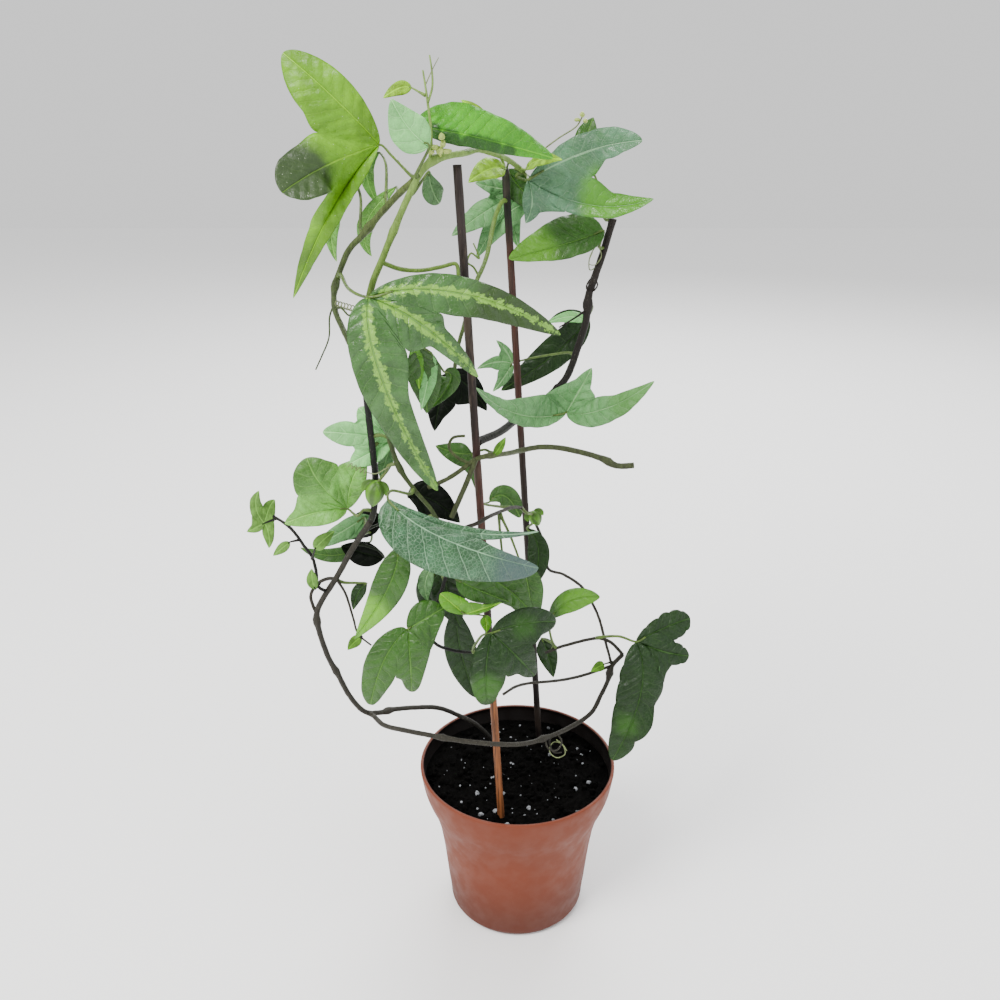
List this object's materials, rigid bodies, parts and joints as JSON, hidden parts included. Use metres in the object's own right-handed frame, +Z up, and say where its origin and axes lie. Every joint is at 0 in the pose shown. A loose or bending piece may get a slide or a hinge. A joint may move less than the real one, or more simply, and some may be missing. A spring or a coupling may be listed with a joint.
{
  "type": "potted climbing plant",
  "caption": "Climbing passion flower vine with lobed leaves, buds and twining stems on two wooden stakes, growing in a round nursery pot filled with soil.",
  "frame": {"origin": "centre of the pot's flat base, where it rests", "axes": "+Z up along the pot's axis and the stakes; -Y towards the viewer of the front, where the banded leaf faces; +X to the viewer's right"},
  "size_m": [0.2422, 0.1692, 0.5073],
  "materials": {
    "pot_plastic": "matt terracotta-coloured plastic",
    "soil": "crumbly black potting soil",
    "stake_wood": "weathered wood",
    "stem_brown": "dry bark",
    "stem_dark": "dark bark",
    "stem_green": "smooth green stem",
    "stem_olive": "smooth olive stem",
    "leaf_bright": "satin leaf",
    "leaf_green": "satin leaf",
    "leaf_grey_green": "satin leaf",
    "leaf_dark": "satin leaf",
    "leaf_mint": "matt leaf underside",
    "bud_green": "satin bud"
  },
  "bodies": {
    "root": {"bud_left": "bud_green", "bud_right": "bud_green", "leaf_arched": "leaf_bright", "leaf_banded": "leaf_green", "leaf_behind_banded": "leaf_grey_green", "leaf_beside_stake": "leaf_dark", "leaf_between_stakes": "leaf_grey_green", "leaf_black": "leaf_dark", "leaf_black_left": "leaf_dark", "leaf_boat": "leaf_green", "leaf_bright_right": "leaf_green", "leaf_cluster_a": "leaf_green", "leaf_cluster_b": "leaf_green", "leaf_cluster_c": "leaf_grey_green", "leaf_dark_low": "leaf_dark", "leaf_dark_right": "leaf_dark", "leaf_dark_small": "leaf_dark", "leaf_folded_top": "leaf_grey_green", "leaf_hanging_dark": "leaf_dark", "leaf_left_of_stake": "leaf_green", "leaf_long_front": "leaf_grey_green", "leaf_mint_fold": "leaf_green", "leaf_mint_left": "leaf_mint", "leaf_mint_low": "leaf_mint", "leaf_mint_right": "leaf_mint", "leaf_narrow_a": "leaf_dark", "leaf_narrow_b": "leaf_green", "leaf_narrow_c": "leaf_green", "leaf_netted_small": "leaf_grey_green", "leaf_olive_left": "leaf_green", "leaf_right_upper": "leaf_green", "leaf_round_small": "leaf_green", "leaf_small_middle": "leaf_mint", "leaf_small_top": "leaf_grey_green", "leaf_three_front": "leaf_dark", "leaf_three_left": "leaf_green", "leaf_top_left": "leaf_bright", "leaf_top_right": "leaf_green", "leaf_upright": "leaf_green", "leaf_wavy_right": "leaf_dark", "leaf_yellow_small": "leaf_bright", "pot": "pot_plastic", "shoot_left": "stem_olive", "soil": "soil", "stake_back": "stake_wood", "stake_front": "stake_wood", "vine_brown": "stem_brown", "vine_cut": "stem_olive", "vine_green": "stem_green", "vine_left": "stem_olive", "vine_mid": "stem_brown", "vine_ring": "stem_brown", "vine_thin": "stem_green", "vine_woody": "stem_dark"}
  },
  "joints": []
}
